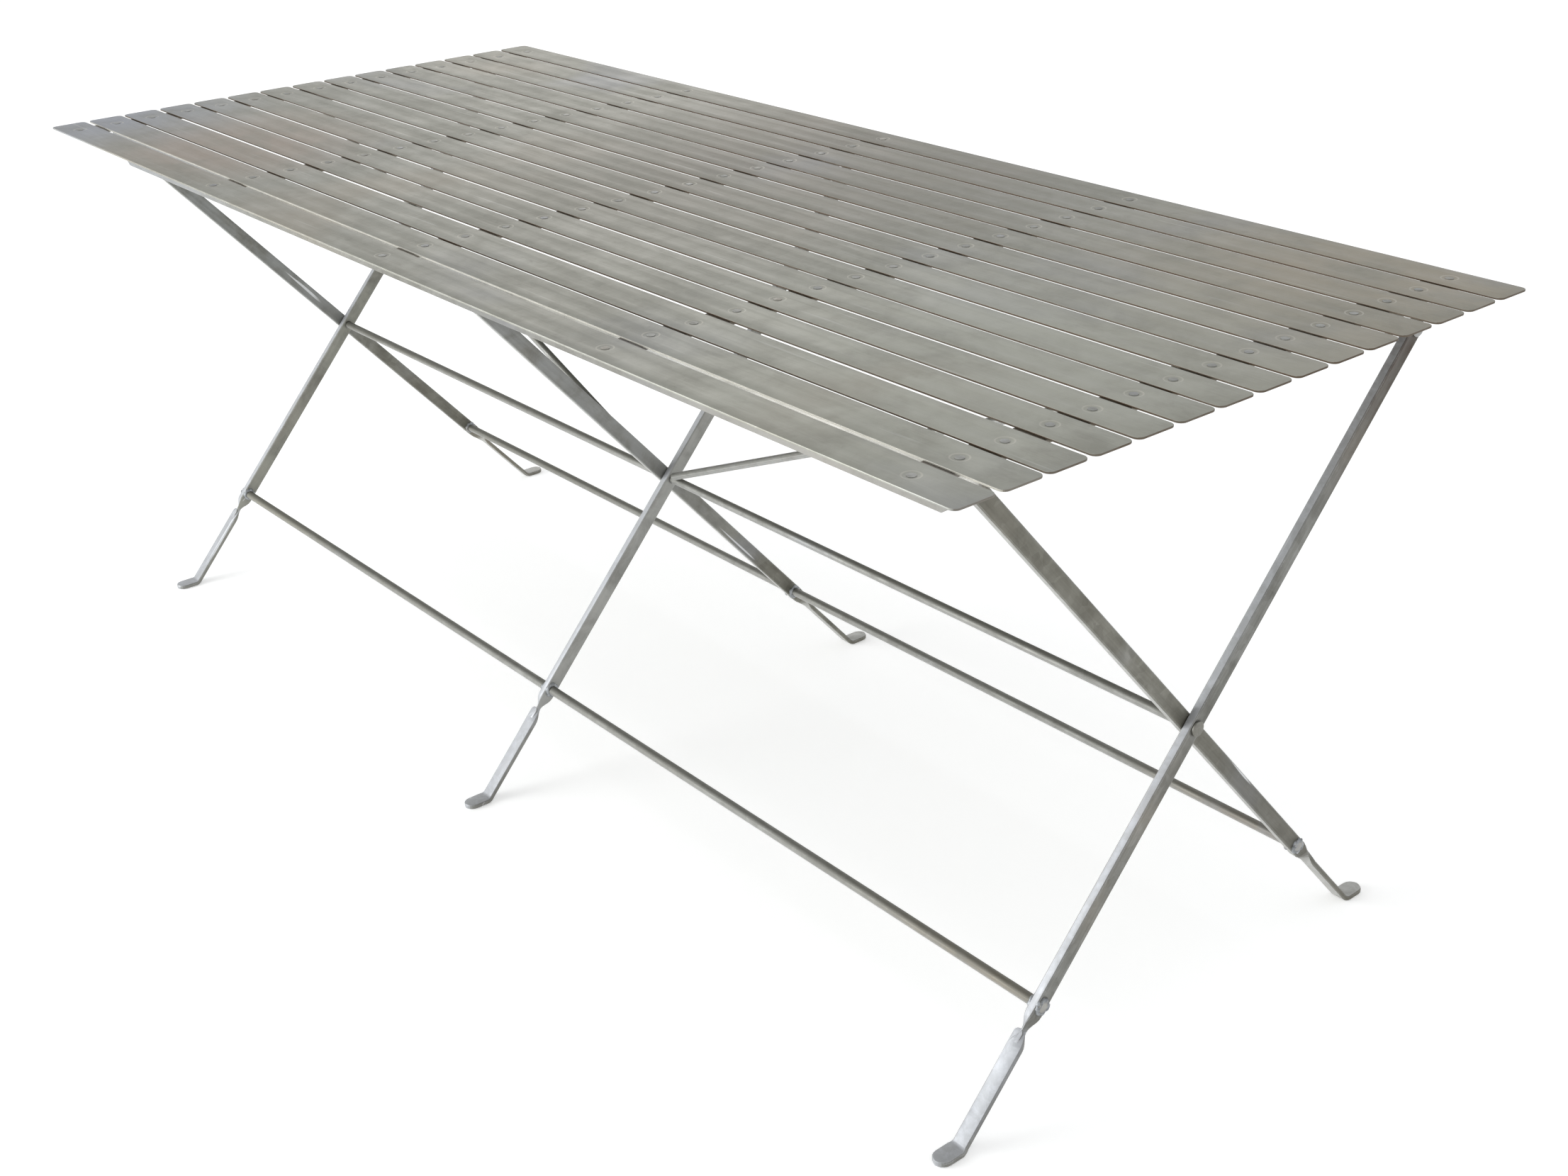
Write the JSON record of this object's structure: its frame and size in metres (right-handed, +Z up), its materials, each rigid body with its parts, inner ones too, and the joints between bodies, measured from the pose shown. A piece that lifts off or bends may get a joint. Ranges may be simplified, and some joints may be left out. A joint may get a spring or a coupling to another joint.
{
  "type": "folding garden table",
  "caption": "Long folding garden table in galvanised steel: slatted top on crossed flat-bar leg frames joined by round rods, with two diagonal braces",
  "frame": {"origin": "on the floor under the middle of the top", "axes": "+X along the slats, +Y from the front rail to the back edge, +Z up"},
  "size_m": [1.9, 0.8258, 0.745],
  "materials": {
    "slat_steel": "weathered galvanised, matt with a faint lengthwise grain",
    "batten_steel": "galvanised, darker on the underside",
    "rail_steel": "galvanised, satin",
    "leg_steel": "galvanised, satin on the edges",
    "rod_steel": "galvanised round bar, satin",
    "fitting_steel": "galvanised, matt"
  },
  "bodies": {
    "top": {"slat_01": "slat_steel", "slat_02": "slat_steel", "slat_03": "slat_steel", "slat_04": "slat_steel", "slat_05": "slat_steel", "slat_06": "slat_steel", "slat_07": "slat_steel", "slat_08": "slat_steel", "slat_09": "slat_steel", "slat_10": "slat_steel", "slat_11": "slat_steel", "slat_12": "slat_steel", "slat_13": "slat_steel", "slat_14": "slat_steel", "slat_15": "slat_steel", "batten_left_end": "batten_steel", "batten_left": "batten_steel", "batten_middle": "batten_steel", "batten_right": "batten_steel", "batten_right_end": "batten_steel", "front_rail": "rail_steel", "hinge_lug_left": "fitting_steel", "hinge_lug_middle": "fitting_steel", "hinge_lug_right": "fitting_steel", "hinge_pin_left": "fitting_steel", "hinge_pin_middle": "fitting_steel", "hinge_pin_right": "fitting_steel", "rest_plate_left": "fitting_steel", "rest_plate_middle": "fitting_steel", "rest_plate_right": "fitting_steel", "brace_ear_left": "fitting_steel", "brace_ear_right": "fitting_steel"},
    "hinged_frame": {"hinged_leg_left": "leg_steel", "hinged_leg_middle": "leg_steel", "hinged_leg_right": "leg_steel", "hinged_low_rod": "rod_steel", "pivot_rod": "rod_steel", "pivot_washer_left": "rod_steel", "pivot_washer_right": "rod_steel"},
    "resting_frame": {"resting_leg_left": "leg_steel", "resting_leg_middle": "leg_steel", "resting_leg_right": "leg_steel", "resting_low_rod": "rod_steel", "resting_top_rod": "rod_steel"},
    "left_brace": {"brace_left": "rod_steel"},
    "right_brace": {"brace_right": "rod_steel"}
  },
  "joints": [
    {"name": "frame_fold", "type": "hinge", "parent": "top", "child": "hinged_frame", "pos_m": [0, -0.32289, 0.716], "axis": [1, 0, 0], "range_deg": [0, 42.5]},
    {"name": "cross_fold", "type": "hinge", "parent": "hinged_frame", "child": "resting_frame", "pos_m": [0, -0.015, 0.365], "axis": [1, 0, 0], "range_deg": [-91.4, 0]},
    {"name": "right_brace_lift", "type": "hinge", "parent": "top", "child": "right_brace", "pos_m": [0.862, -0.0216, 0.724], "axis": [0, 1, 0], "range_deg": [0, 22.6]},
    {"name": "left_brace_lift", "type": "hinge", "parent": "top", "child": "left_brace", "pos_m": [-0.862, -0.0216, 0.724], "axis": [0, -1, 0], "range_deg": [0, 21.7]}
  ],
  "couplings": [
    {"joint": "cross_fold", "follows": "frame_fold", "ratio": -2.15}
  ]
}
